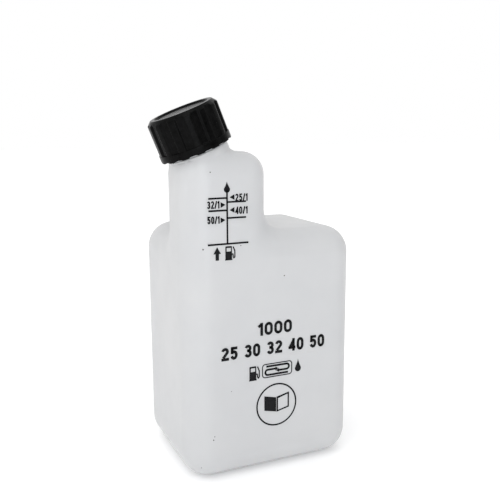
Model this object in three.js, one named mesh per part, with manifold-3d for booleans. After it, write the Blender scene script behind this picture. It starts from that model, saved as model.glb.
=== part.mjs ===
// Fuel mixing bottle: a blow-moulded block with a measuring column at its front left corner,
// and a ribbed screw cap on a neck that leans to the left.
// Millimetres, +Z up. The origin is the middle of the underside, and the printed face looks along -Y.
import * as THREE from "three";
import { mergeVertices } from "three/addons/utils/BufferGeometryUtils.js";
import Module from "manifold-3d";

const wasm = await Module();
wasm.setup();

// Block
const bodyWidth = 102;
const bodyDepth = 83.3;
const bodyHeight = 137;
const bodyEdge = 15.2;
const wall = 1.3;

// Column, flush with the block's front and left faces
const columnWidth = 49.3;
const columnDepth = 39.6;
const columnRise = 43;
const columnTopEdge = 12.3;
const valley = 14;

// Neck: its axis leans to the left, and its foot is measured from the left face and the column's top
const neckTilt = THREE.MathUtils.degToRad(22);
const neckInset = 13.7;
const neckRise = 1.4;
const neckRadius = 15.8;
const neckWall = 1.8;
const neckLipEdge = 0.6;
const collarStep = 0.7;
const collarDrop = 1.2;
const collarHeight = 4;
const collarSkin = 0.3;
const collarValley = 4;

// Screw cap
const capHeight = 21.8;
const threadRoom = 1.5;
const capWall = 1.1;
const ribCount = 14;
const ribDepth = 0.9;
const ribShare = 0.5;
const bandHeight = 3.6;
const bandStep = 0.3;
const bandEdge = 0.4;
const capTopChamfer = 2.2;
const rimWidth = 2.4;
const discRecess = 1;
const capTopWall = 1.6;
const nibHeight = 0.5;

// Sealing disc under the cap's top, and the gap that touching pieces keep
const linerThickness = 1.2;
const linerMargin = 0.9;
const seat = 0.3;

// Faceting: the longest facet on a curved stretch and on a flat one
const fineStep = 4.4;
const flatStep = 20;
const roundSteps = 56;

// Values that follow from the sizes above
const left = -bodyWidth / 2;
const right = bodyWidth / 2;
const front = -bodyDepth / 2;
const back = bodyDepth / 2;
const columnRight = left + columnWidth;
const columnBack = front + columnDepth;
const columnTop = bodyHeight + columnRise;
const neckFoot = new THREE.Vector3(left + neckInset, front + columnDepth / 2, columnTop + neckRise);
const neckFrame = new THREE.Matrix4().makeRotationY(-neckTilt).setPosition(neckFoot);
const neckFrameBack = neckFrame.clone().invert();
const collarRadius = neckRadius + collarStep;
const stubRadius = collarRadius - collarSkin;
const stubTop = -collarDrop - collarSkin;
const stubDepth = neckRadius;
const boreRadius = neckRadius - neckWall;
const capInside = neckRadius + threadRoom;
const panelRadius = capInside + capWall;
const ribRadius = panelRadius + ribDepth;
const bandRadius = ribRadius + bandStep;
const capUnderside = capHeight - discRecess - capTopWall;
const linerTop = capUnderside - seat;
const neckTop = linerTop - linerThickness - seat;

// Signed distance to a block with all its edges rounded, from how far a point is past each pair of faces
function roundedCorner(x, y, z, radius) {
  const a = x + radius;
  const b = y + radius;
  const c = z + radius;
  const past = Math.hypot(Math.max(a, 0), Math.max(b, 0), Math.max(c, 0));
  return past + Math.min(Math.max(a, b, c), 0) - radius;
}

// The same for one edge between two faces
function roundedRim(x, y, radius) {
  const a = x + radius;
  const b = y + radius;
  return Math.hypot(Math.max(a, 0), Math.max(b, 0)) + Math.min(Math.max(a, b), 0) - radius;
}

// The lower of two fields, with a soft valley where they are alike
function softLower(a, b, width) {
  const share = Math.max(width - Math.abs(a - b), 0) / width;
  return Math.min(a, b) - (share * share * width) / 4;
}

// The column's own right, back and top faces, as one field
function columnField(p) {
  const plan = roundedRim(p.x - columnRight, p.y - columnBack, bodyEdge);
  return roundedRim(plan, p.z - columnTop, columnTopEdge);
}

// The block and its column: the soft step between their tops is carried round the outer faces
function blockField(p) {
  const top = softLower(p.z - bodyHeight, columnField(p), valley);
  const side = Math.abs(p.x) - right;
  const face = Math.abs(p.y) - back;
  const high = Math.max(top, -p.z);
  return roundedCorner(side, face, high, bodyEdge);
}

// A stub of round bar along the neck's axis, from inside the column up to a given height
function stubField(p, radius, end) {
  const q = p.clone().applyMatrix4(neckFrameBack);
  const across = Math.hypot(q.x, q.y) - radius;
  const along = Math.max(q.z - end, end - stubDepth - q.z);
  return Math.max(across, along);
}

function outsideField(p) {
  return softLower(blockField(p), stubField(p, stubRadius, stubTop), collarValley);
}

function insideField(p) {
  return softLower(blockField(p), stubField(p, boreRadius + wall, stubTop), collarValley) + wall;
}

// Places for grid lines from one end to the other: close together inside the curved stretches only
function gridLine(from, to, curved) {
  const stops = [from, to, ...curved.flat()].filter((v) => v >= from && v <= to);
  const marks = [...new Set(stops)].sort((a, b) => a - b);
  const line = [from];
  for (let i = 1; i < marks.length; i += 1) {
    const middle = (marks[i - 1] + marks[i]) / 2;
    const fine = curved.some(([a, b]) => middle > a && middle < b);
    const count = Math.ceil((marks[i] - marks[i - 1]) / (fine ? fineStep : flatStep));
    for (let n = 1; n <= count; n += 1) {
      line.push(marks[i - 1] + ((marks[i] - marks[i - 1]) * n) / count);
    }
  }
  return line;
}

// The slope of a field at a point
function slope(field, p) {
  const h = 1e-3;
  const g = new THREE.Vector3();
  for (const axis of ["x", "y", "z"]) {
    const q = p.clone();
    q[axis] += h;
    g[axis] = field(q);
    q[axis] -= 2 * h;
    g[axis] = (g[axis] - field(q)) / (2 * h);
  }
  return g;
}

// Moves a point along the slope until the field is nought there
function settle(field, p) {
  for (let i = 0; i < 12; i += 1) {
    const g = slope(field, p);
    p.addScaledVector(g, -field(p) / Math.max(g.lengthSq(), 0.2));
  }
  return p;
}

// The surface where a field is nought, with one point in each grid cell that it crosses
function surfaceOf(field, xs, ys, zs) {
  const at = (i, j, k) => (i * ys.length + j) * zs.length + k;
  const node = (i, j, k) => new THREE.Vector3(xs[i], ys[j], zs[k]);
  const value = new Float64Array(xs.length * ys.length * zs.length);
  for (let i = 0; i < xs.length; i += 1) {
    for (let j = 0; j < ys.length; j += 1) {
      for (let k = 0; k < zs.length; k += 1) {
        value[at(i, j, k)] = field(node(i, j, k));
      }
    }
  }
  const points = [];
  const cellPoint = new Map();
  function pointOfCell(i, j, k) {
    const key = at(i, j, k);
    if (!cellPoint.has(key)) {
      cellPoint.set(key, points.length);
      points.push(settle(field, crossingMiddle(i, j, k)));
    }
    return cellPoint.get(key);
  }
  function crossingMiddle(i, j, k) {
    const sum = new THREE.Vector3();
    let count = 0;
    for (const [di, dj, dk] of [[1, 0, 0], [0, 1, 0], [0, 0, 1]]) {
      for (let u = 0; u < 2; u += 1) {
        for (let v = 0; v < 2; v += 1) {
          const a = di ? [i, j + u, k + v] : dj ? [i + u, j, k + v] : [i + u, j + v, k];
          const b = [a[0] + di, a[1] + dj, a[2] + dk];
          const va = value[at(...a)];
          const vb = value[at(...b)];
          if (va < 0 !== vb < 0) {
            sum.add(node(...a).lerp(node(...b), va / (va - vb)));
            count += 1;
          }
        }
      }
    }
    return sum.divideScalar(count);
  }
  const faces = [];
  function quad(cells, flip) {
    const ring = cells.map((c) => pointOfCell(...c));
    if (flip) {
      ring.reverse();
    }
    const [a, b, c, d] = ring;
    const ac = points[a].distanceTo(points[c]);
    const bd = points[b].distanceTo(points[d]);
    if (ac <= bd) {
      faces.push([a, b, c], [a, c, d]);
    } else {
      faces.push([a, b, d], [b, c, d]);
    }
  }
  for (let i = 0; i < xs.length - 1; i += 1) {
    for (let j = 0; j < ys.length - 1; j += 1) {
      for (let k = 0; k < zs.length - 1; k += 1) {
        const here = value[at(i, j, k)] < 0;
        if (j > 0 && k > 0 && here !== value[at(i + 1, j, k)] < 0) {
          quad([[i, j - 1, k - 1], [i, j, k - 1], [i, j, k], [i, j - 1, k]], !here);
        }
        if (i > 0 && k > 0 && here !== value[at(i, j + 1, k)] < 0) {
          quad([[i - 1, j, k - 1], [i - 1, j, k], [i, j, k], [i, j, k - 1]], !here);
        }
        if (i > 0 && j > 0 && here !== value[at(i, j, k + 1)] < 0) {
          quad([[i - 1, j - 1, k], [i, j - 1, k], [i, j, k], [i - 1, j, k]], !here);
        }
      }
    }
  }
  const geometry = new THREE.BufferGeometry();
  const tidy = (v) => Math.round(v * 1e4) / 1e4;
  const flat = points.flatMap((p) => [tidy(p.x), tidy(p.y), tidy(p.z)]);
  geometry.setAttribute("position", new THREE.Float32BufferAttribute(flat, 3));
  geometry.setIndex(faces.flat());
  return geometry;
}

// A round piece from its profile of [radius, height] points, with its axis along +Z
function turned(profile) {
  const points = profile.map(([radius, height]) => new THREE.Vector2(radius, height));
  return new THREE.LatheGeometry(points, roundSteps).rotateX(Math.PI / 2);
}

// A round piece whose profile changes with the angle: each profile starts and ends on the axis
function turnedByAngle(angles, profileAt) {
  const flat = [];
  const faces = [];
  const rows = angles.map(profileAt);
  const last = rows[0].length - 1;
  const inner = last - 1;
  flat.push(0, 0, rows[0][0][1]);
  flat.push(0, 0, rows[0][last][1]);
  rows.forEach((row, n) => {
    for (const [radius, height] of row.slice(1, last)) {
      flat.push(radius * Math.cos(angles[n]), radius * Math.sin(angles[n]), height);
    }
  });
  for (let n = 0; n < angles.length; n += 1) {
    const here = 2 + n * inner;
    const next = 2 + ((n + 1) % angles.length) * inner;
    faces.push([0, next, here]);
    for (let m = 0; m < inner - 1; m += 1) {
      faces.push([here + m, next + m, next + m + 1]);
      faces.push([here + m, next + m + 1, here + m + 1]);
    }
    faces.push([1, here + inner - 1, next + inner - 1]);
  }
  const geometry = new THREE.BufferGeometry();
  geometry.setAttribute("position", new THREE.Float32BufferAttribute(flat, 3));
  geometry.setIndex(faces.flat());
  return geometry;
}

// A closed geometry as a solid that can be joined and cut
function solid(geometry) {
  const bare = geometry.clone();
  bare.deleteAttribute("normal");
  bare.deleteAttribute("uv");
  const merged = mergeVertices(bare, 1e-5);
  const vertProperties = Float32Array.from(merged.attributes.position.array);
  const triVerts = Uint32Array.from(merged.index.array);
  return new wasm.Manifold(new wasm.Mesh({ numProp: 3, vertProperties, triVerts }));
}

// A solid's vertices and triangles as a geometry
function geometryOf(body) {
  const mesh = body.getMesh();
  const geometry = new THREE.BufferGeometry();
  geometry.setAttribute("position", new THREE.BufferAttribute(mesh.vertProperties, 3));
  geometry.setIndex(new THREE.BufferAttribute(mesh.triVerts, 1));
  geometry.computeVertexNormals();
  return geometry;
}

function namedMesh(name, geometry, color, roughness) {
  const mesh = new THREE.Mesh(geometry, new THREE.MeshStandardMaterial({ color, roughness, metalness: 0 }));
  mesh.name = name;
  return mesh;
}

// The bottle: outer skin and neck, less the hollow and the bore
function bottle() {
  const margin = fineStep / 2;
  const neckReach = collarRadius + collarValley;
  const xs = gridLine(neckFoot.x - neckReach - margin, right + margin, [
    [neckFoot.x - neckReach, left + bodyEdge],
    [columnRight - bodyEdge, columnRight + valley / 2],
    [right - bodyEdge, right + margin],
  ]);
  const ys = gridLine(front - margin, back + margin, [
    [front - margin, front + bodyEdge],
    [columnBack - bodyEdge, columnBack + valley / 2],
    [back - bodyEdge, back + margin],
  ]);
  const highest = neckFoot.z + stubRadius * Math.sin(neckTilt) + margin;
  const zs = gridLine(-margin, highest, [
    [-margin, bodyEdge],
    [bodyHeight - bodyEdge, bodyHeight + valley / 2],
    [columnTop - bodyEdge, highest],
  ]);
  const outside = solid(surfaceOf(outsideField, xs, ys, zs));
  const hollow = solid(surfaceOf(insideField, xs, ys, zs));
  const neckBottom = -stubDepth / 2;
  const neckBar = turned([
    [0, neckBottom],
    [neckRadius, neckBottom],
    [neckRadius, -collarDrop - collarHeight - collarStep],
    [collarRadius, -collarDrop - collarHeight],
    [collarRadius, -collarDrop - collarStep],
    [neckRadius, -collarDrop],
    [neckRadius, neckTop - neckLipEdge],
    [neckRadius - neckLipEdge, neckTop],
    [0, neckTop],
  ]).applyMatrix4(neckFrame);
  const bore = turned([
    [0, neckBottom],
    [boreRadius, neckBottom],
    [boreRadius, capHeight],
    [0, capHeight],
  ]).applyMatrix4(neckFrame);
  return outside.add(solid(neckBar)).subtract(hollow).subtract(solid(bore));
}

// The cap: ribs and panels in turn above a plain band, a raised rim, and small nibs along the lower edge
function screwCap() {
  const pitch = (2 * Math.PI) / ribCount;
  const ribHalf = (pitch * ribShare) / 2;
  const flank = ribDepth / ribRadius;
  const angles = [];
  for (let n = 0; n < ribCount; n += 1) {
    const middle = n * pitch;
    const gap = pitch - 2 * ribHalf;
    for (const share of [-1, -1 / 3, 1 / 3, 1]) {
      angles.push(middle + share * (ribHalf - flank / 2));
    }
    for (const share of [0, 1 / 3, 2 / 3]) {
      angles.push(middle + ribHalf + flank / 2 + share * (gap - flank));
    }
    angles.push(middle + pitch - ribHalf - flank / 2);
  }
  const rimOuter = ribRadius - capTopChamfer;
  return turnedByAngle(angles, (angle) => {
    const fromRib = Math.abs(((angle + pitch / 2) % pitch) - pitch / 2);
    const onRib = fromRib < ribHalf;
    const radius = onRib ? ribRadius : panelRadius;
    const low = onRib ? -nibHeight : 0;
    return [
      [0, capUnderside],
      [capInside - bandEdge, capUnderside],
      [capInside, capUnderside - bandEdge],
      [capInside, low],
      [bandRadius - bandEdge, low],
      [bandRadius, bandEdge],
      [bandRadius, bandHeight - bandEdge],
      [bandRadius - bandStep, bandHeight],
      [radius, bandHeight + (ribRadius - radius) / 2],
      [radius, capHeight - (radius - rimOuter)],
      [rimOuter, capHeight],
      [rimOuter - rimWidth, capHeight],
      [rimOuter - rimWidth - discRecess / 2, capHeight - discRecess],
      [0, capHeight - discRecess],
    ];
  });
}

// The sealing disc, clear of the cap's side wall
function capLiner() {
  const radius = capInside - linerMargin;
  return turned([
    [0, linerTop - linerThickness],
    [radius, linerTop - linerThickness],
    [radius, linerTop],
    [0, linerTop],
  ]);
}

const closure = new THREE.Group();
closure.position.copy(neckFoot);
closure.rotation.y = -neckTilt;
closure.add(namedMesh("screw_cap", screwCap(), 0x1b1b1e, 0.42));
closure.add(namedMesh("cap_liner", capLiner(), 0xe4e1d8, 0.7));

const model = new THREE.Group();
model.add(namedMesh("bottle", geometryOf(bottle()), 0xd9dbdd, 0.38));
model.add(closure);

export default model;
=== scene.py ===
"""A fuel mixing bottle of milky plastic with a black ribbed screw cap, on a pale floor under soft light."""
import math

import bmesh
import bpy
import numpy as np
from mathutils import Matrix, Vector


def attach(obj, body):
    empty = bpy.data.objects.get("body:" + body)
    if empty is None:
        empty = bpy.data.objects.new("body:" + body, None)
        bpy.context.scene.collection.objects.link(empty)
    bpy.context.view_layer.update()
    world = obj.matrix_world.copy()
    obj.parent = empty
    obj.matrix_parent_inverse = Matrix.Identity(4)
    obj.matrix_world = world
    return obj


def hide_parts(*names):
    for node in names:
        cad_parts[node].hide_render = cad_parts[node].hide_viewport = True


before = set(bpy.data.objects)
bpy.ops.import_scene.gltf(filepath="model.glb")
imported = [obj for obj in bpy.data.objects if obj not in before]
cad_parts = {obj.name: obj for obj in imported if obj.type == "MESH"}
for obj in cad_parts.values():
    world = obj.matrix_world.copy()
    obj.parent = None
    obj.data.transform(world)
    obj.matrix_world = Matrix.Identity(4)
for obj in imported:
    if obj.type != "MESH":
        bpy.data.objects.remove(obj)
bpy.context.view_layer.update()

MM = 0.001

# The bottle's sizes in millimetres, as in the solids
BODY_WIDTH, BODY_DEPTH, BODY_HEIGHT = 102.0, 83.3, 137.0
BODY_EDGE = 15.2
WALL = 1.3
COLUMN_WIDTH, COLUMN_DEPTH, COLUMN_RISE = 49.3, 39.6, 43.0
COLUMN_TOP_EDGE = 12.3
VALLEY = 14.0
NECK_TILT = math.radians(22)
NECK_INSET, NECK_RISE = 13.7, 1.4
NECK_RADIUS, NECK_WALL = 15.8, 1.8
COLLAR_STEP, COLLAR_DROP, COLLAR_HEIGHT, COLLAR_VALLEY = 0.7, 1.2, 4.0, 4.0
CAP_HEIGHT = 21.8
THREAD_ROOM, CAP_WALL = 1.5, 1.1
RIB_COUNT, RIB_DEPTH, RIB_SHARE = 14, 0.9, 0.5
BAND_HEIGHT, BAND_STEP, BAND_EDGE = 3.6, 0.3, 0.4
CAP_TOP_CHAMFER, RIM_WIDTH, DISC_RECESS, CAP_TOP_WALL = 2.2, 2.4, 1.0, 1.6
NIB_HEIGHT = 0.5
LINER_THICKNESS, SEAT = 1.2, 0.3

LEFT, RIGHT = -BODY_WIDTH / 2, BODY_WIDTH / 2
FRONT, BACK = -BODY_DEPTH / 2, BODY_DEPTH / 2
COLUMN_RIGHT = LEFT + COLUMN_WIDTH
COLUMN_BACK = FRONT + COLUMN_DEPTH
COLUMN_TOP = BODY_HEIGHT + COLUMN_RISE
NECK_FOOT = np.array([LEFT + NECK_INSET, (FRONT + COLUMN_BACK) / 2, COLUMN_TOP + NECK_RISE])
NECK_ACROSS = np.array([math.cos(NECK_TILT), 0.0, math.sin(NECK_TILT)])
NECK_DEPTH = np.array([0.0, 1.0, 0.0])
NECK_AXIS = np.array([-math.sin(NECK_TILT), 0.0, math.cos(NECK_TILT)])
NECK_BASE = -NECK_RADIUS / 2
COLLAR_RADIUS = NECK_RADIUS + COLLAR_STEP
BORE_RADIUS = NECK_RADIUS - NECK_WALL
CAP_INSIDE = NECK_RADIUS + THREAD_ROOM
PANEL_RADIUS = CAP_INSIDE + CAP_WALL
RIB_RADIUS = PANEL_RADIUS + RIB_DEPTH
BAND_RADIUS = RIB_RADIUS + BAND_STEP
CAP_UNDERSIDE = CAP_HEIGHT - DISC_RECESS - CAP_TOP_WALL
NECK_TOP = CAP_UNDERSIDE - SEAT - LINER_THICKNESS - SEAT

# The thread, which the solids leave out. Its fade at each end is in turns, and its flank is a slope across
# its half width.
THREAD_PITCH = 4.0
THREAD_HEIGHT = 0.8
THREAD_HALF_WIDTH = 1.1
THREAD_FADE, THREAD_FLANK = 0.12, 1.6
NECK_THREAD_START, NECK_THREAD_TURNS = 4.2, 1.9
CAP_THREAD_START, CAP_THREAD_TURNS = 6.2, 1.7

# Softened edges: radii, chamfers and fillets of the neck, and of the cap from its inside, round its lower
# edge, up its panels and over its rim to the sunk disc
NECK_LIP, COLLAR_EDGE, BORE_MOUTH = 0.6, 0.4, 0.5
CORNER_START, CORNER_SIDE, CORNER_DROP = 0.8, 0.2, 0.3
THREAD_WALL_TOP, THREAD_WALL_FOOT = 1.0, 1.6
MOUTH_CHAMFER = 0.2
LEDGE_SHARE = 0.45
PANEL_FOOT, PANEL_END = 0.12, 0.5
SHOULDER = ((0.12, 0.0), (0.45, 0.38))
RIM_EDGE, RIM_INSET, RIM_INNER_EDGE = 0.75, 0.3, 0.25
DISC_SLOPE, DISC_LIFT, DISC_EDGE = 0.3, 0.1, 0.6
RIB_FLANK = 0.7

# How finely the surfaces are divided: grid steps in millimetres, and counts of steps
FINE_STEP, FLAT_STEP = 1.7, 7.0
NECK_STEPS, NECK_WALL_STEPS = 144, 60
RIB_STEPS, CAP_WALL_STEPS, PANEL_STEPS = 22, 48, 6
RING_STEPS, SPECK_STEPS = 96, 14

# How points settle on the skin, how far a cut runs past its end, and how near points are welded, in metres
SETTLE_ROUNDS, SETTLE_NUDGE, LEAST_SLOPE = 10, 1e-3, 0.2
OVERLAP = 0.01
WELD = 1e-7

# The modelled skin lies a little inside the solid, so that the ink, which stands proud of it, fits in too
INK_ROOM = 0.12
INK_LIFT = 0.04
INK_DEPTH = INK_LIFT * 1.5

# The camera, fitted to the photograph: pixels and degrees, and its place about a point over the base
PICTURE = 500
FOCAL = 675.92
PITCH, YAW, ROLL = (math.radians(a) for a in (10.32, 23.97, -0.32))
ASIDE, UP, AWAY = 2.82, 16.37, 404.3
LOOK_AT = np.array([0.0, 0.0, 104.0])

# Its sensor's width in millimetres, and the nearest distance that it sees in metres
SENSOR = 36.0
NEAR_CLIP = 0.01

# The light tent: the brightness of its opening, the opening's turn to the camera's right and its soft edge
TENT_OPENING = 0.3
OPENING_TURN = math.radians(70)
OPENING_EDGE = (0.1, 0.95)

# The floor in metres: its half width, its shade, and its glow at a near and a far distance from the object
FLOOR_REACH = 6.0
FLOOR_SHADE = 0.93
GLOW_DISTANCE, FLOOR_GLOW = (0.07, 0.40), (0.15, 0.27)

# The lamps in metres: each one's name, place, size, power and colour, and the point that they all face
LAMP_AIM = (0, 0, 0.10)
LAMPS = (
    ("left", (-0.20, -0.88, 0.36), (0.30, 0.70), 2.1, (0.92, 0.955, 1.0)),
    ("right", (0.70, -0.45, 0.50), (0.3, 0.6), 0.4, (1.0, 0.99, 0.98)),
    ("top", (-0.25, -0.40, 0.85), (0.6, 0.6), 1.7, (1.0, 1.0, 1.0)),
)

# The values of a noise between which colours and roughness change, and each material's two shades
RAMP_ENDS, NOISE_SPREAD = (0.32, 0.68), (0.3, 0.7)
MILKY = ((0.54, 0.545, 0.555), (0.575, 0.577, 0.582))
CAP_BLACK = ((0.001, 0.001, 0.001), (0.004, 0.004, 0.004))
INK_BLACK = ((0.003, 0.003, 0.004), (0.010, 0.010, 0.011))
SPECK_BROWN = ((0.03, 0.028, 0.026), (0.09, 0.085, 0.08))
FOAM_CREAM = ((0.74, 0.73, 0.69), (0.84, 0.83, 0.79))

# The printed scale in millimetres: its line, the heights of its base line and of its marks, which run to the
# left for 25 and 40 and to the right for 32 and 50, and its signs. A weight is a line's share of a height.
SCALE_X, SCALE_LINE = -28.1, 0.95
BASE_LINE_Z = 132.95
LEFT_MARKS, RIGHT_MARKS = (156.8, 150.45), (154.67, 146.4)
SCALE_DROP_WIDTH = 3.4
RATIO_HEIGHT, RATIO_WEIGHT = 3.9, 0.19
POINTER_HALF_LENGTH, POINTER_HALF_HEIGHT = 1.35, 1.5
ARROW_TIP, ARROW_NECK, ARROW_FOOT = 3.6, -0.1, -3.5
ARROW_HALF_HEAD, ARROW_HALF_STEM = 2.1, 0.95
SCALE_PUMP_BOX = ((-2.6, -3.9), (3.0, 3.7))

# The scale in pixels of the photograph: the ends of its lines, its drop, the boxes of its ratios, the columns
# of the pointers beside its line and their rise, its arrow and its pump
BASE_LINE_LEFT, BASE_LINE_RIGHT = (207.5, 245.3), (248.0, 241.9)
MARKS_LEFT, MARKS_RIGHT = (208, 210), (245.6, 201)
SCALE_DROP, SCALE_DROP_TIP = (226.9, 189.0), (226.7, 181.0)
RATIO_BOXES = {
    "25/1": ((234.8, 200.6), (247.2, 192.9)),
    "32/1": ((206.6, 208.2), (219.0, 200.9)),
    "40/1": ((234.8, 213.4), (247.2, 205.8)),
    "50/1": ((206.9, 223.6), (219.2, 216.0)),
}
POINTER_LEFT, POINTER_RIGHT, POINTER_RISE = 222.6, 231.6, 0.1
UP_ARROW = (216.8, 253.6)
SCALE_PUMP = (229.6, 252.2)

# The rows of figures, each with the pixels of its two ends along its foot. Narrow signs and the gaps between
# signs are shares of a figure's width.
FIGURE_ROWS = (
    ("1000", (257.5, 335.9), (291.5, 331.0)),
    ("25 30 32 40 50", (221.0, 361.3), (323.7, 345.3)),
)
ROW_HEIGHT, ROW_WEIGHT = 7.3, 0.22
FIGURE_SHARES = {"1": 0.62, "/": 0.66, " ": 0.55}
FIGURE_GAP = 0.17

# The row of signs under them, a pump, mixing arrows in a frame and a drop: pixels, then millimetres
SIGN_PUMP, SIGN_DROP = (254.2, 372.8), (297.5, 367.6)
MIX_LOW, MIX_HIGH, MIX_MIDDLE = (261.6, 378.2), (291.8, 359.6), (276.6, 368.8)
SIGN_PUMP_BOX = ((-3.1, -4.2), (3.1, 4.2))
SIGN_DROP_WIDTH, SIGN_DROP_HEIGHT = 3.8, 7.4
MIX_HALF_HEIGHT, MIX_LINE, MIX_CORNER, MIX_ARROW_LINE = 4.1, 0.6, 2.0, 1.15

# The ring and its book in millimetres
RING_CENTRE, RING_RADIUS, RING_LINE = (0.37, 39.6), 12.5, 0.9
BOOK_HALF_WIDTH, BOOK_HEIGHT, BOOK_LINE, BOOK_GAP = 7.8, 9.0, 0.9, 0.25
BOOK_SLOPE, BOOK_CORNER = 0.20, 1.2

# A fuel pump's hose: shares of the pump's width past its case, and of its height
PUMP_HOSE = ((0, 0.42), (0.10, 0.40), (0.13, 0.20), (0.20, 0.13), (0.29, 0.20), (0.29, 0.62), (0.12, 0.92))

# A drop's waist as shares of its radius, and how fast its flank draws in towards the point
DROP_WAIST_RISE, DROP_WAIST_REACH, DROP_TAPER = 0.34, 0.94, 1.35

# Grains caught in the moulding: each one's pixel of the photograph and its radius in millimetres, and the
# shares by which their width and height vary
SPECK_LUMPS = (0.25, 0.2)
SPECKS = (
    (209.8, 171.8, 0.35), (202.6, 249.3, 0.42), (283.9, 275.1, 0.36), (213.3, 439.8, 0.34),
    (214.4, 436.4, 0.28), (231.1, 391.2, 0.22), (240.5, 245.2, 0.30), (201.0, 467.5, 0.26),
)


# Numbers and arcs

def evenly(start, stop, steps):
    """Numbers from start to stop in equal steps, with both ends."""
    return [start + (stop - start) * n / steps for n in range(steps + 1)]


def even_angles(count):
    """Angles in radians all round, in equal steps from nought."""
    return [2 * math.pi * n / count for n in range(count)]


def oval_arc(centre, reach, rise, start, stop, steps=9):
    """Points of an oval arc, from one angle in degrees to another."""
    turns = [math.radians(a) for a in evenly(start, stop, steps)]
    return [(centre[0] + reach * math.cos(a), centre[1] + rise * math.sin(a)) for a in turns]


def arc(centre, radius, start, stop, steps=5):
    """Points of a round arc, from one angle in degrees to another."""
    return oval_arc(centre, radius, radius, start, stop, steps)


def smooth_step(value):
    value = min(1.0, max(0.0, value))
    return value * value * (3 - 2 * value)


# Shader nodes

def fill(node, values):
    """Sets a node's sockets by their names."""
    for socket, value in values.items():
        node.inputs[socket].default_value = value


def map_range(tree, value, source, target, interpolation="LINEAR"):
    node = tree.nodes.new("ShaderNodeMapRange")
    node.interpolation_type = interpolation
    fill(node, {"From Min": source[0], "From Max": source[1], "To Min": target[0], "To Max": target[1]})
    tree.links.new(value, node.inputs["Value"])
    return node.outputs["Result"]


def coordinate(tree, kind):
    return tree.nodes.new("ShaderNodeTexCoord").outputs[kind]


class Finish:
    """A material whose colour, roughness and bump can each follow a noise."""

    def __init__(self, name):
        self.material = bpy.data.materials.new(name)
        self.material.use_nodes = True
        self.tree = self.material.node_tree
        self.shader = self.tree.nodes["Principled BSDF"]

    def noise(self, scale, detail=4.0, roughness=0.6):
        node = self.tree.nodes.new("ShaderNodeTexNoise")
        fill(node, {"Scale": scale, "Detail": detail, "Roughness": roughness})
        self.tree.links.new(coordinate(self.tree, "Object"), node.inputs["Vector"])
        return node.outputs["Fac"]

    def colour(self, value, shades):
        node = self.tree.nodes.new("ShaderNodeValToRGB")
        for element, position, shade in zip(node.color_ramp.elements, RAMP_ENDS, shades):
            element.position = position
            element.color = (*shade, 1)
        self.tree.links.new(value, node.inputs["Fac"])
        self.tree.links.new(node.outputs["Color"], self.shader.inputs["Base Color"])

    def roughness(self, value, smoothest, roughest):
        spread = map_range(self.tree, value, NOISE_SPREAD, (smoothest, roughest))
        self.tree.links.new(spread, self.shader.inputs["Roughness"])

    def bump(self, value, distance, strength):
        """Adds a bump over the bumps that are there."""
        normal = self.shader.inputs["Normal"]
        node = self.tree.nodes.new("ShaderNodeBump")
        fill(node, {"Distance": distance, "Strength": strength})
        self.tree.links.new(value, node.inputs["Height"])
        if normal.is_linked:
            self.tree.links.new(normal.links[0].from_socket, node.inputs["Normal"])
        self.tree.links.new(node.outputs["Normal"], normal)


# The camera and the light

def camera_axes():
    """The camera's directions and its place in millimetres."""
    level = np.array([math.cos(YAW), -math.sin(YAW), 0.0])
    ahead = np.array([math.sin(YAW), math.cos(YAW), 0.0])
    forward = ahead * math.cos(PITCH) - np.array([0.0, 0.0, math.sin(PITCH)])
    upright = np.cross(level, forward)
    right = level * math.cos(ROLL) + upright * math.sin(ROLL)
    up = upright * math.cos(ROLL) - level * math.sin(ROLL)
    place = LOOK_AT - forward * AWAY + level * ASIDE + upright * UP
    return forward, right, up, place


def make_camera():
    forward, right, up, place = camera_axes()
    data = bpy.data.cameras.new("camera")
    data.sensor_width = SENSOR
    data.lens = FOCAL / PICTURE * SENSOR
    data.clip_start = NEAR_CLIP
    camera = bpy.data.objects.new("camera", data)
    bpy.context.collection.objects.link(camera)
    turn = Matrix((right, up, -forward)).transposed().to_4x4()
    camera.matrix_world = Matrix.Translation(Vector(place) * MM) @ turn
    bpy.context.scene.camera = camera


def on_front(px, py):
    """The point of the front face, in millimetres, that the camera sees at a pixel of the photograph."""
    forward, right, up, place = camera_axes()
    middle = (PICTURE - 1) / 2
    ray = forward + right * (px - middle) / FOCAL - up * (py - middle) / FOCAL
    point = place + ray * (FRONT - place[1]) / ray[1]
    return point[0], point[2]


def make_world():
    """A light tent: white all round but for a darker opening with a soft edge, on the camera's right."""
    world = bpy.data.worlds.new("studio")
    world.use_nodes = True
    tree = world.node_tree
    turn = YAW - OPENING_TURN
    nearness = tree.nodes.new("ShaderNodeVectorMath")
    nearness.operation = "DOT_PRODUCT"
    nearness.inputs[1].default_value = (-math.sin(turn), -math.cos(turn), 0.0)
    tree.links.new(coordinate(tree, "Generated"), nearness.inputs[0])
    strength = map_range(tree, nearness.outputs["Value"], OPENING_EDGE, (1.0, TENT_OPENING), "SMOOTHSTEP")
    back = tree.nodes["Background"]
    back.inputs["Color"].default_value = (1.0, 1.0, 1.0, 1.0)
    tree.links.new(strength, back.inputs["Strength"])
    bpy.context.scene.world = world


def make_lamps():
    for name, place, size, power, colour in LAMPS:
        data = bpy.data.lights.new(name, "AREA")
        data.shape = "RECTANGLE"
        data.size, data.size_y = size
        data.energy = power
        data.color = colour
        lamp = bpy.data.objects.new(name, data)
        bpy.context.collection.objects.link(lamp)
        lamp.location = place
        lamp.rotation_euler = (Vector(LAMP_AIM) - Vector(place)).to_track_quat("-Z", "Y").to_euler()


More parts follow.
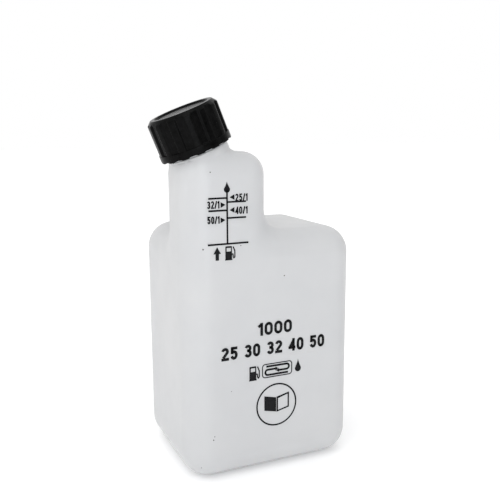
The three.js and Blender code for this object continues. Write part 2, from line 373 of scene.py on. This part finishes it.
def make_floor():
    """White paper that glows more away from the object, so that only the contact shadow shows on it."""
    mesh = bpy.data.meshes.new("floor")
    corners = [(x * FLOOR_REACH, y * FLOOR_REACH, 0) for x, y in ((-1, -1), (1, -1), (1, 1), (-1, 1))]
    mesh.from_pydata(corners, [], [(0, 1, 2, 3)])
    floor = bpy.data.objects.new("floor", mesh)
    bpy.context.collection.objects.link(floor)
    paper = Finish("floor_paper")
    fill(paper.shader, {
        "Base Color": (FLOOR_SHADE, FLOOR_SHADE, FLOOR_SHADE, 1),
        "Roughness": 0.9,
        "Emission Color": (1, 1, 1, 1),
    })
    distance = paper.tree.nodes.new("ShaderNodeVectorMath")
    distance.operation = "LENGTH"
    paper.tree.links.new(coordinate(paper.tree, "Object"), distance.inputs[0])
    glow = map_range(paper.tree, distance.outputs["Value"], GLOW_DISTANCE, FLOOR_GLOW)
    paper.tree.links.new(glow, paper.shader.inputs["Emission Strength"])
    mesh.materials.append(paper.material)


# Materials

def bottle_plastic():
    """Milky polyethylene: faint clouds in the colour, a satin skin with slow waves and a fine grain."""
    finish = Finish("bottle_plastic")
    finish.colour(finish.noise(scale=18.0, detail=3.0), MILKY)
    finish.roughness(finish.noise(scale=60.0), 0.34, 0.44)
    fill(finish.shader, {
        "IOR": 1.5,
        "Subsurface Weight": 0.35,
        "Subsurface Radius": (1.0, 1.0, 1.0),
        "Subsurface Scale": 0.006,
    })
    finish.bump(finish.noise(scale=26.0, detail=2.0), distance=0.0006, strength=0.5)
    finish.bump(finish.noise(scale=1400.0, detail=2.0), distance=0.00003, strength=0.6)
    return finish.material


def cap_plastic():
    """Black moulded plastic: satin, with a fine grain and a trace of dust in the colour."""
    finish = Finish("cap_plastic")
    finish.colour(finish.noise(scale=350.0, detail=6.0, roughness=0.7), CAP_BLACK)
    finish.roughness(finish.noise(scale=140.0), 0.20, 0.28)
    fill(finish.shader, {"IOR": 1.5, "Specular IOR Level": 0.05})
    finish.bump(finish.noise(scale=2600.0, detail=3.0), distance=0.00003, strength=0.8)
    return finish.material


def ink():
    """Black ink, a little uneven where it took less well."""
    finish = Finish("print_ink")
    finish.colour(finish.noise(scale=900.0, detail=5.0, roughness=0.7), INK_BLACK)
    finish.roughness(finish.noise(scale=500.0), 0.35, 0.5)
    fill(finish.shader, {"Specular IOR Level": 0.12})
    return finish.material


def speck_grey():
    """Dark grains of burnt plastic caught in the moulding."""
    finish = Finish("speck_grey")
    finish.colour(finish.noise(scale=2000.0), SPECK_BROWN)
    fill(finish.shader, {"Roughness": 0.5})
    return finish.material


def liner_foam():
    """Matt cream foam with fine pores."""
    finish = Finish("liner_foam")
    finish.colour(finish.noise(scale=900.0), FOAM_CREAM)
    fill(finish.shader, {"Roughness": 0.8})
    finish.bump(finish.noise(scale=2200.0), distance=0.0001, strength=0.7)
    return finish.material


# The bottle's form, as a field that is nought on its skin and below nought inside

def rounded_corner(x, y, z, radius):
    """Three faces that meet at nought, with their edges and their corner rounded."""
    a, b, c = x + radius, y + radius, z + radius
    past = np.sqrt(np.maximum(a, 0) ** 2 + np.maximum(b, 0) ** 2 + np.maximum(c, 0) ** 2)
    return past + np.minimum(np.maximum(np.maximum(a, b), c), 0) - radius


def rounded_rim(x, y, radius):
    """Two faces that meet at nought, with their edge rounded."""
    a, b = x + radius, y + radius
    return np.hypot(np.maximum(a, 0), np.maximum(b, 0)) + np.minimum(np.maximum(a, b), 0) - radius


def soft_lower(a, b, width):
    """Two forms as one, with a smooth valley of a given width between them."""
    share = np.maximum(width - np.abs(a - b), 0) / width
    return np.minimum(a, b) - share * share * width / 4


def column_field(x, y, z):
    plan = rounded_rim(x - COLUMN_RIGHT, y - COLUMN_BACK, BODY_EDGE)
    return rounded_rim(plan, z - COLUMN_TOP, COLUMN_TOP_EDGE)


def block_field(x, y, z, foot=0.0):
    """The block with its column, with its underside at the height of foot."""
    top = soft_lower(z - BODY_HEIGHT, column_field(x, y, z), VALLEY)
    return rounded_corner(np.abs(x) - RIGHT, np.abs(y) - BACK, np.maximum(top, foot - z), BODY_EDGE)


def neck_bar(x, y, z, radius):
    """A round bar along the neck's axis that starts inside the column and has no end."""
    dx, dy, dz = x - NECK_FOOT[0], y - NECK_FOOT[1], z - NECK_FOOT[2]
    across = dx * NECK_ACROSS[0] + dz * NECK_ACROSS[2]
    along = dx * NECK_AXIS[0] + dz * NECK_AXIS[2]
    return np.maximum(np.hypot(across, dy) - radius, -along - NECK_RADIUS), along


def skin_field(x, y, z):
    """The outside, cut off square just under the top of the neck's collar."""
    bar, along = neck_bar(x, y, z, COLLAR_RADIUS - INK_ROOM)
    whole = soft_lower(block_field(x, y, z, -INK_ROOM), bar, COLLAR_VALLEY) + INK_ROOM
    return np.maximum(whole, along + COLLAR_DROP + SEAT)


def hollow_field(x, y, z):
    """The inside, one wall within the solid's outside."""
    bar, along = neck_bar(x, y, z, BORE_RADIUS + WALL)
    whole = soft_lower(block_field(x, y, z), bar, COLLAR_VALLEY) + WALL
    return np.maximum(whole, along + COLLAR_DROP + SEAT)


def grid_line(low, high, curved):
    """Places from low to high: close together inside the curved stretches, wide apart between them."""
    stops = sorted({low, high, *(v for pair in curved for v in pair if low < v < high)})
    line = [low]
    for a, b in zip(stops, stops[1:]):
        middle = (a + b) / 2
        step = FINE_STEP if any(p < middle < q for p, q in curved) else FLAT_STEP
        line += evenly(a, b, math.ceil((b - a) / step))[1:]
    return np.array(line)


def settle(field, points):
    """Moves points along the field's slope until it is nought there."""
    for _ in range(SETTLE_ROUNDS):
        value = field(*points.T)
        slope = np.empty_like(points)
        for axis in range(3):
            shift = np.zeros(3)
            shift[axis] = SETTLE_NUDGE
            rise = field(*(points + shift).T) - field(*(points - shift).T)
            slope[:, axis] = rise / (2 * SETTLE_NUDGE)
        steepness = np.maximum((slope ** 2).sum(1), LEAST_SLOPE)
        points = points - slope * (value / steepness)[:, None]
    return points


def crossings(value, lines, axis):
    """Grid edges along an axis that cross the skin: their places, points on it, and whether they leave it."""
    low = [slice(None)] * 3
    high = [slice(None)] * 3
    low[axis] = slice(0, -1)
    high[axis] = slice(1, None)
    before, after = value[tuple(low)], value[tuple(high)]
    crossing = (before < 0) != (after < 0)
    before, after = before[crossing], after[crossing]
    place = np.argwhere(crossing)
    point = np.stack([line[place[:, n]] for n, line in enumerate(lines)], 1)
    length = lines[axis][place[:, axis] + 1] - lines[axis][place[:, axis]]
    point[:, axis] += before / (before - after) * length
    return place, point, before < 0


def surface_of(field, lines):
    """The skin where a field is nought: one point in each grid cell that it crosses, joined in quads."""
    value = field(*np.meshgrid(*lines, indexing="ij"))
    cells = tuple(n - 1 for n in value.shape)
    total = np.zeros(cells + (3,))
    count = np.zeros(cells)
    quads = []
    for axis in range(3):
        place, point, outward = crossings(value, lines, axis)
        first, second = (axis + 1) % 3, (axis + 2) % 3
        around = []
        for a, b in ((-1, -1), (0, -1), (0, 0), (-1, 0)):
            cell = place.copy()
            cell[:, first] += a
            cell[:, second] += b
            around.append(cell)
            fits = ((cell >= 0) & (cell < cells)).all(1)
            np.add.at(total, tuple(cell[fits].T), point[fits])
            np.add.at(count, tuple(cell[fits].T), 1)
        quad = np.stack(around, 1)
        fits = ((quad >= 0) & (quad < cells)).all((1, 2))
        quad, outward = quad[fits], outward[fits]
        quad[~outward] = quad[~outward][:, ::-1]
        quads.append(quad)
    used = count > 0
    number = -np.ones(cells, int)
    number[used] = np.arange(used.sum())
    points = settle(field, total[used] / count[used][:, None])
    return points, number[tuple(np.moveaxis(np.concatenate(quads), 2, 0))]


# Meshes

def smooth_faces(mesh):
    mesh.polygons.foreach_set("use_smooth", [True] * len(mesh.polygons))


def mesh_object(name, points, faces, smooth=True):
    """An object from points in millimetres and faces."""
    mesh = bpy.data.meshes.new(name)
    mesh.from_pydata((np.asarray(points) * MM).tolist(), [], [list(map(int, f)) for f in faces])
    mesh.validate()
    mesh.update()
    if smooth:
        smooth_faces(mesh)
    piece = bpy.data.objects.new(name, mesh)
    bpy.context.collection.objects.link(piece)
    return piece


def face_outward(piece):
    """Welds points that coincide and turns all the faces to the outside."""
    work = bmesh.new()
    work.from_mesh(piece.data)
    bmesh.ops.remove_doubles(work, verts=work.verts, dist=WELD)
    bmesh.ops.recalc_face_normals(work, faces=work.faces)
    work.to_mesh(piece.data)
    work.free()
    return piece


def apply_modifiers(piece):
    made = bpy.data.meshes.new_from_object(piece.evaluated_get(bpy.context.evaluated_depsgraph_get()))
    piece.modifiers.clear()
    piece.data = made


def combine(piece, other, how):
    """Joins or cuts a piece by another one, which is then deleted."""
    change = piece.modifiers.new(how, "BOOLEAN")
    change.operation = how
    change.solver = "MANIFOLD"
    change.object = other
    apply_modifiers(piece)
    bpy.data.objects.remove(other)


# Round pieces on the neck's axis

def turned(name, rows, angles):
    """A closed round piece from a profile of radii and heights at each angle, with its ends on the axis."""
    last = len(rows[0]) - 1
    inner = last - 1
    local = [(0.0, 0.0, rows[0][0][1]), (0.0, 0.0, rows[0][last][1])]
    faces = []
    for angle, row in zip(angles, rows):
        local += [(r * math.cos(angle), r * math.sin(angle), s) for r, s in row[1:last]]
    for n in range(len(angles)):
        here, there = 2 + n * inner, 2 + (n + 1) % len(angles) * inner
        faces.append((0, there, here))
        faces += [(here + m, there + m, there + m + 1, here + m + 1) for m in range(inner - 1)]
        faces.append((1, here + inner - 1, there + inner - 1))
    across, deep, along = np.split(np.array(local), 3, axis=1)
    points = NECK_FOOT + across * NECK_ACROSS + deep * NECK_DEPTH + along * NECK_AXIS
    return face_outward(mesh_object(name, points, faces))


def thread_height(angle, height, start, turns):
    """How far a helical ridge stands up at an angle and height, fading out at both of its ends."""
    best = 0.0
    for n in range(int(turns) + 2):
        along = angle / (2 * math.pi) + n
        if 0 <= along <= turns:
            off = abs(height - start - along * THREAD_PITCH) / THREAD_HALF_WIDTH
            fade = min(1.0, along / THREAD_FADE, (turns - along) / THREAD_FADE)
            best = max(best, fade * min(1.0, max(0.0, THREAD_FLANK - THREAD_FLANK * off)))
    return best * THREAD_HEIGHT


def neck_piece():
    """The neck with its collar and its thread, from inside the column to the rounded lip."""
    angles = even_angles(NECK_STEPS)
    collar_low = -COLLAR_DROP - COLLAR_HEIGHT
    foot = [(0.0, NECK_BASE), (NECK_RADIUS, NECK_BASE)]
    foot += [(NECK_RADIUS, collar_low - COLLAR_STEP), (COLLAR_RADIUS, collar_low)]
    foot += arc((COLLAR_RADIUS - COLLAR_EDGE, -COLLAR_DROP - COLLAR_EDGE), COLLAR_EDGE, 0, 90)
    lip = arc((NECK_RADIUS - NECK_LIP, NECK_TOP - NECK_LIP), NECK_LIP, 0, 90)[1:]
    heights = evenly(NECK_TOP - NECK_LIP, -COLLAR_DROP, NECK_WALL_STEPS)[::-1]
    rows = []
    for angle in angles:
        ridges = [thread_height(angle, s, NECK_THREAD_START, NECK_THREAD_TURNS) for s in heights]
        wall = [(NECK_RADIUS + ridge, s) for ridge, s in zip(ridges, heights)]
        rows.append([*foot, *wall, *lip, (0.0, NECK_TOP)])
    return turned("neck", rows, angles)


def bore_piece():
    """What is cut out of the neck: its bore, which widens at the mouth."""
    angles = even_angles(NECK_STEPS)
    row = [(0.0, NECK_BASE), (BORE_RADIUS, NECK_BASE), (BORE_RADIUS, NECK_TOP - BORE_MOUTH)]
    row += [(BORE_RADIUS + BORE_MOUTH, NECK_TOP + OVERLAP), (BORE_RADIUS + BORE_MOUTH, CAP_HEIGHT)]
    row += [(0.0, CAP_HEIGHT)]
    return turned("bore", [row] * len(angles), angles)


def bottle():
    """The block, its column and its neck as one hollow moulding."""
    margin = FINE_STEP / 2
    far_left = NECK_FOOT[0] - COLLAR_RADIUS - COLLAR_VALLEY - margin
    high = NECK_FOOT[2] + COLLAR_RADIUS * math.sin(NECK_TILT) + margin
    xs = grid_line(far_left, RIGHT + margin, [
        (far_left, COLUMN_RIGHT + VALLEY),
        (RIGHT - BODY_EDGE, RIGHT + margin),
    ])
    ys = grid_line(FRONT - margin, BACK + margin, [
        (FRONT - margin, COLUMN_BACK + VALLEY),
        (BACK - BODY_EDGE, BACK + margin),
    ])
    zs = grid_line(-margin, high, [
        (-margin, BODY_EDGE),
        (BODY_HEIGHT - BODY_EDGE, BODY_HEIGHT + VALLEY),
        (COLUMN_TOP - BODY_EDGE, high),
    ])
    piece = face_outward(mesh_object("bottle_skin", *surface_of(skin_field, (xs, ys, zs))))
    hollow = face_outward(mesh_object("hollow", *surface_of(hollow_field, (xs, ys, zs))))
    combine(piece, neck_piece(), "UNION")
    combine(piece, hollow, "DIFFERENCE")
    combine(piece, bore_piece(), "DIFFERENCE")
    piece.data.materials.clear()
    piece.data.materials.append(bottle_plastic())
    smooth_faces(piece.data)
    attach(piece, "bottle")
    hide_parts("bottle")


# The screw cap

def rib_share(angle):
    """One on a rib's flat, nought on a panel, with short flanks between them."""
    pitch = 2 * math.pi / RIB_COUNT
    off = abs((angle + pitch / 2) % pitch - pitch / 2)
    flank = RIB_DEPTH * RIB_FLANK / RIB_RADIUS
    return smooth_step((pitch * RIB_SHARE / 2 - off) / flank + 0.5)


def cap_row(angle):
    """The cap's profile at an angle: inside, lower edge, band, rib or panel, rim and sunk disc."""
    rib = rib_share(angle)
    radius = PANEL_RADIUS + RIB_DEPTH * rib
    low = -NIB_HEIGHT * rib
    rim = RIB_RADIUS - CAP_TOP_CHAMFER
    inner = rim - RIM_WIDTH
    top = CAP_HEIGHT - (radius - rim)
    disc = CAP_HEIGHT - DISC_RECESS
    ledge = BAND_RADIUS - BAND_EDGE

    row = [(0.0, CAP_UNDERSIDE), (CAP_INSIDE - CORNER_START, CAP_UNDERSIDE)]
    row += [(CAP_INSIDE - CORNER_SIDE, CAP_UNDERSIDE - CORNER_DROP)]
    for s in evenly(CAP_UNDERSIDE - THREAD_WALL_TOP, THREAD_WALL_FOOT, CAP_WALL_STEPS):
        row.append((CAP_INSIDE - thread_height(angle, s, CAP_THREAD_START, CAP_THREAD_TURNS), s))
    row += [(CAP_INSIDE, low + MOUTH_CHAMFER), (CAP_INSIDE + MOUTH_CHAMFER, low)]

    row += arc((ledge, low + BAND_EDGE), BAND_EDGE, -90, 0)
    row += arc((ledge, BAND_HEIGHT - BAND_EDGE), BAND_EDGE, 0, 80)
    row += [(radius + (ledge - radius) * LEDGE_SHARE, BAND_HEIGHT)]
    row += [(radius + PANEL_FOOT * (1 - rib), BAND_HEIGHT + PANEL_FOOT)]
    row += [(radius, s) for s in evenly(BAND_HEIGHT + PANEL_END, top - PANEL_END, PANEL_STEPS)]

    row += [(radius - inward, top + up) for inward, up in SHOULDER]
    row += arc((rim - RIM_INSET, CAP_HEIGHT - RIM_EDGE), RIM_EDGE, 40, 90)
    row += arc((inner + RIM_INNER_EDGE, CAP_HEIGHT - RIM_INNER_EDGE), RIM_INNER_EDGE, 90, 170, 3)
    row += [(inner - DISC_RECESS * DISC_SLOPE, disc + DISC_LIFT), (inner - DISC_EDGE, disc)]
    return row + [(inner / 2, disc), (0.0, disc)]


def screw_cap():
    """The ribbed cap with its inner thread."""
    angles = even_angles(RIB_COUNT * RIB_STEPS)
    piece = turned("cap_shell", [cap_row(a) for a in angles], angles)
    piece.data.materials.append(cap_plastic())
    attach(piece, "cap")
    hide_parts("screw_cap")


# Flat shapes of the print: each is the vertices and faces of a shape in the front plane

def flat_shape(outline, holes=()):
    """A filled outline with its holes left open."""
    work = bmesh.new()
    edges = []
    for loop in (outline, *holes):
        verts = [work.verts.new((x, 0, z)) for x, z in loop]
        edges += [work.edges.new((a, b)) for a, b in zip(verts, verts[1:] + verts[:1])]
    bmesh.ops.triangle_fill(work, use_beauty=True, use_dissolve=False, edges=edges)
    work.verts.index_update()
    points = [tuple(v.co) for v in work.verts]
    faces = [[v.index for v in f.verts] for f in work.faces]
    work.free()
    return points, faces


def stroke(route, width):
    """A line of even width along a list of points, square at both of its ends."""
    points = np.array(route, float)
    along = np.diff(points, axis=0)
    along /= np.hypot(*along.T)[:, None]
    before = np.concatenate([along[:1], along])
    after = np.concatenate([along, along[-1:]])
    mitre = before + after
    mitre /= (mitre * after).sum(1)[:, None]
    aside = np.stack([-mitre[:, 1], mitre[:, 0]], 1) * width / 2
    placed = [(x, 0.0, z) for x, z in (*(points + aside), *(points - aside))]
    count = len(points)
    return placed, [[n, n + 1, count + n + 1, count + n] for n in range(count - 1)]


def circle(centre, radius):
    turns = even_angles(RING_STEPS)
    return [(centre[0] + radius * math.cos(a), centre[1] + radius * math.sin(a)) for a in turns]


def rounded_box(low, high, radius, steps=6):
    left, right = low[0] + radius, high[0] - radius
    foot, head = low[1] + radius, high[1] - radius
    corners = (((right, foot), -90), ((right, head), 0), ((left, head), 90), ((left, foot), 180))
    return [point for centre, start in corners for point in arc(centre, radius, start, start + 90, steps)]


def drop(centre, width, height):
    """A drop with its point up; centre is the middle of its round part."""
    radius = width / 2
    rise = height - radius
    waist, reach = radius * DROP_WAIST_RISE, radius * DROP_WAIST_REACH
    belly = arc((0.0, 0.0), radius, -200, 20, 22)
    flank = [(reach * (1 - t) ** DROP_TAPER, waist + (rise - waist) * t) for t in (0.25, 0.5, 0.75)]
    loop = belly + flank + [(0, rise)] + [(-x, z) for x, z in reversed(flank)]
    return flat_shape([(centre[0] + x, centre[1] + z) for x, z in loop])


def pump(pixel, box):
    """A fuel pump about a pixel: a case with a window, a foot, and a hose that hangs at its side."""
    x, z = on_front(*pixel)
    (left, low), (right, high) = ((x + dx, z + dz) for dx, dz in box)
    width, height = right - left, high - low
    case = left + width * 0.66
    window_low = (left + width * 0.13, low + height * 0.60)
    window_high = (case - width * 0.11, high - height * 0.15)
    window = rounded_box(window_low, window_high, width * 0.05)
    shell = rounded_box((left, low + height * 0.04), (case, high - height * 0.03), width * 0.08)
    foot = [(left - width * 0.04, low + height * 0.03), (case + width * 0.04, low + height * 0.03)]
    hose = [(case + width * across, low + height * up) for across, up in PUMP_HOSE]
    return [flat_shape(shell, [window]), stroke(foot, height * 0.08), stroke(hose, width * 0.12)]


def up_arrow(pixel):
    """A solid arrow that points up."""
    x, z = on_front(*pixel)
    left = [(-ARROW_HALF_HEAD, ARROW_NECK), (-ARROW_HALF_STEM, ARROW_NECK)]
    left += [(-ARROW_HALF_STEM, ARROW_FOOT)]
    loop = [(0.0, ARROW_TIP), *left, *((-dx, dz) for dx, dz in reversed(left))]
    return flat_shape([(x + dx, z + dz) for dx, dz in loop])


def hooked_arrow(centre, half_x, half_z, turn, line):
    """An arrow that goes along, round and back to the middle of its box; turn mirrors it end for end."""
    outer, inner = half_z * 0.60, -half_z * 0.14
    bend = (outer - inner) / 2
    bend_x = half_x * 0.78 - bend
    neck_x = half_x * 0.12

    def place(points):
        return [(centre[0] + turn * x, centre[1] + turn * z) for x, z in points]

    route = [(-half_x * 0.72, outer)] + arc((bend_x, inner + bend), bend, 90, -90, 12) + [(neck_x, inner)]
    tip = [(neck_x - line * 1.6, inner), (neck_x, inner - line), (neck_x, inner + line)]
    return [stroke(place(route), line), flat_shape(place(tip))]


def mixing_arrows():
    """Two hooked arrows that meet, in a frame with round corners."""
    left, right = on_front(*MIX_LOW)[0], on_front(*MIX_HIGH)[0]
    x, z = (left + right) / 2, on_front(*MIX_MIDDLE)[1]
    half_x, half_z = (right - left) / 2, MIX_HALF_HEIGHT
    outer, inner = (
        rounded_box((x - half_x + inset, z - half_z + inset), (x + half_x - inset, z + half_z - inset),
                    MIX_CORNER - inset)
        for inset in (0.0, MIX_LINE)
    )
    parts = [flat_shape(outer, [inner])]
    for turn in (1, -1):
        parts += hooked_arrow((x, z), half_x, half_z, turn, MIX_ARROW_LINE)
    return parts


def open_book(centre):
    """An open book seen from the front: one page is filled and the other one is left open."""
    cx, cz = centre
    low = cz - BOOK_HEIGHT / 2

    def page(side, inset):
        spine, edge = cx + side * inset, cx + side * (BOOK_HALF_WIDTH - inset)
        corner = inset * BOOK_CORNER
        lift = BOOK_HEIGHT * BOOK_SLOPE * (1 - inset / BOOK_HALF_WIDTH)
        return [(spine, low + corner), (edge, low + lift + inset),
                (edge, low + BOOK_HEIGHT + lift - inset), (spine, low + BOOK_HEIGHT - corner)]

    return [flat_shape(page(-1, BOOK_GAP)), flat_shape(page(1, 0.0), [page(1, BOOK_LINE)])]


def figure_lines(sign, wide, high, line):
    """The middle lines of a plain bold figure that fills a box from nought to its width and height."""
    half = line / 2
    low, top, middle = half, high - half, wide / 2
    reach = middle - half
    if sign == "0":
        bend, lap = high * 0.36 - half, line * 0.3
        upper, lower = (middle, top - bend), (middle, low + bend)
        right = oval_arc(upper, reach, bend, 90, 0) + oval_arc(lower, reach, bend, 0, -90)
        right = [(middle - lap, top), *right, (middle - lap, low)]
        return [right, [(wide - x, z) for x, z in right]]
    if sign == "1":
        stem = wide - half
        return [[(stem, 0), (stem, high)], [(half * 0.4, high * 0.70), (stem, high * 0.90)]]
    if sign == "2":
        bowl = high * 0.70
        curve = oval_arc((middle, bowl), reach, top - bowl, 170, -25) + [(half * 1.3, line)]
        return [curve, [(0, low), (wide, low)]]
    if sign == "3":
        join = high * 0.53
        inward = (middle - line * 0.4, join)
        upper = oval_arc((middle, (top + join) / 2), reach * 0.93, (top - join) / 2, 165, -90)
        lower = oval_arc((middle, (low + join) / 2), reach, (join - low) / 2, 90, -165)
        return [upper + [inward], [inward] + lower]
    if sign == "4":
        stem, cross = wide * 0.72, high * 0.28
        slope = [(half, cross), (stem, top - half * 0.4)]
        return [[(stem, 0), (stem, high)], [(0, cross), (wide, cross)], slope]
    if sign == "5":
        side, bowl = wide * 0.10 + half, high * 0.62
        roof = [(side - half, top), (wide * 0.96, top)]
        back = [(side, high), (side - wide * 0.04, high * 0.46)]
        return [roof, back, oval_arc((middle, (low + bowl) / 2), reach, (bowl - low) / 2, 150, -165)]
    if sign == "/":
        return [[(wide * 0.12, 0), (wide * 0.88, high)]]
    return []


def figures(text, low, high, weight):
    """A row of plain figures that fills a box; weight is their line's share of the height."""
    shares = [FIGURE_SHARES.get(sign, 1.0) for sign in text]
    unit = (high[0] - low[0]) / (sum(shares) + FIGURE_GAP * (len(text) - 1))
    tall = high[1] - low[1]
    line = tall * weight
    parts = []
    x = low[0]
    for sign, share in zip(text, shares):
        for points in figure_lines(sign, share * unit, tall, line):
            parts.append(stroke([(x + a, low[1] + b) for a, b in points], line))
        x += (share + FIGURE_GAP) * unit
    return parts


# The print on the front face

def ratio(text, low, high):
    """A ratio's figures in a box between two pixels, and the pointer from them to the scale's line."""
    x0, x1 = on_front(*low)[0], on_front(*high)[0]
    row = (low[1] + high[1]) / 2
    middle_z = on_front((low[0] + high[0]) / 2, row)[1]
    half = RATIO_HEIGHT / 2
    parts = figures(text, (x0, middle_z - half), (x1, middle_z + half), RATIO_WEIGHT)
    right_of_line = x0 > SCALE_X
    column = POINTER_RIGHT if right_of_line else POINTER_LEFT
    reach = -POINTER_HALF_LENGTH if right_of_line else POINTER_HALF_LENGTH
    x, z = on_front(column, row - POINTER_RISE)
    tip = [(x + reach, z), (x - reach, z + POINTER_HALF_HEIGHT), (x - reach, z - POINTER_HALF_HEIGHT)]
    return parts + [flat_shape(tip)]


def scale_marks():
    """The upright line with its drop, the base line, four marks with their ratios, an arrow and a pump."""
    drop_z, tip_z = on_front(*SCALE_DROP)[1], on_front(*SCALE_DROP_TIP)[1]
    base_left, base_right = on_front(*BASE_LINE_LEFT)[0], on_front(*BASE_LINE_RIGHT)[0]
    lines = [
        [(SCALE_X, BASE_LINE_Z), (SCALE_X, drop_z)],
        [(base_left, BASE_LINE_Z), (base_right, BASE_LINE_Z)],
    ]
    for end, heights in ((MARKS_LEFT, LEFT_MARKS), (MARKS_RIGHT, RIGHT_MARKS)):
        lines += [[(SCALE_X, height), (on_front(*end)[0], height)] for height in heights]
    parts = [stroke(line, SCALE_LINE) for line in lines]
    parts.append(drop((SCALE_X, drop_z), SCALE_DROP_WIDTH, tip_z - drop_z + SCALE_DROP_WIDTH / 2))
    for text, (low, high) in RATIO_BOXES.items():
        parts += ratio(text, low, high)
    parts.append(up_arrow(UP_ARROW))
    return parts + pump(SCALE_PUMP, SCALE_PUMP_BOX)


def figure_rows():
    """Two rows of plain figures, a row of signs, and a ring with an open book."""
    parts = []
    for text, start, stop in FIGURE_ROWS:
        (x0, z0), x1 = on_front(*start), on_front(*stop)[0]
        parts += figures(text, (x0, z0), (x1, z0 + ROW_HEIGHT), ROW_WEIGHT)
    parts += pump(SIGN_PUMP, SIGN_PUMP_BOX)
    parts += mixing_arrows()
    parts.append(drop(on_front(*SIGN_DROP), SIGN_DROP_WIDTH, SIGN_DROP_HEIGHT))
    outer, inner = circle(RING_CENTRE, RING_RADIUS), circle(RING_CENTRE, RING_RADIUS - RING_LINE)
    parts.append(flat_shape(outer, [inner]))
    return parts + open_book(RING_CENTRE)


def specks():
    """Small dark grains on the front face, each a slightly lumpy round."""
    parts = []
    for n, (px, py, radius) in enumerate(SPECKS):
        x, z = on_front(px, py)
        loop = []
        for a in even_angles(SPECK_STEPS):
            wide = radius * (1 + SPECK_LUMPS[0] * math.sin(3 * a + n))
            tall = radius * (1 + SPECK_LUMPS[1] * math.cos(2 * a + n))
            loop.append((x + wide * math.cos(a), z + tall * math.sin(a)))
        parts.append(flat_shape(loop))
    return parts


def print_piece(name, parts, material):
    """One thin layer of print from flat shapes, just proud of the front face."""
    points, faces = [], []
    for part_points, part_faces in parts:
        start = len(points)
        points += [(x, FRONT + INK_ROOM - INK_LIFT, z) for x, _, z in part_points]
        faces += [[start + n for n in f] for f in part_faces]
    piece = mesh_object(name, points, faces, smooth=False)
    work = bmesh.new()
    work.from_mesh(piece.data)
    for face in work.faces:
        if face.normal.y > 0:
            face.normal_flip()
    work.to_mesh(piece.data)
    work.free()
    thick = piece.modifiers.new("thickness", "SOLIDIFY")
    thick.thickness = INK_DEPTH * MM
    thick.offset = -1
    apply_modifiers(piece)
    piece.data.materials.append(material)
    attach(piece, "bottle")


make_camera()
make_world()
bpy.context.scene.view_settings.view_transform = "Standard"
make_lamps()
make_floor()
bottle()
screw_cap()
black = ink()
print_piece("scale_print", scale_marks(), black)
print_piece("front_print", figure_rows(), black)
print_piece("moulding_specks", specks(), speck_grey())
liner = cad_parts["cap_liner"]
liner.data.materials.clear()
liner.data.materials.append(liner_foam())
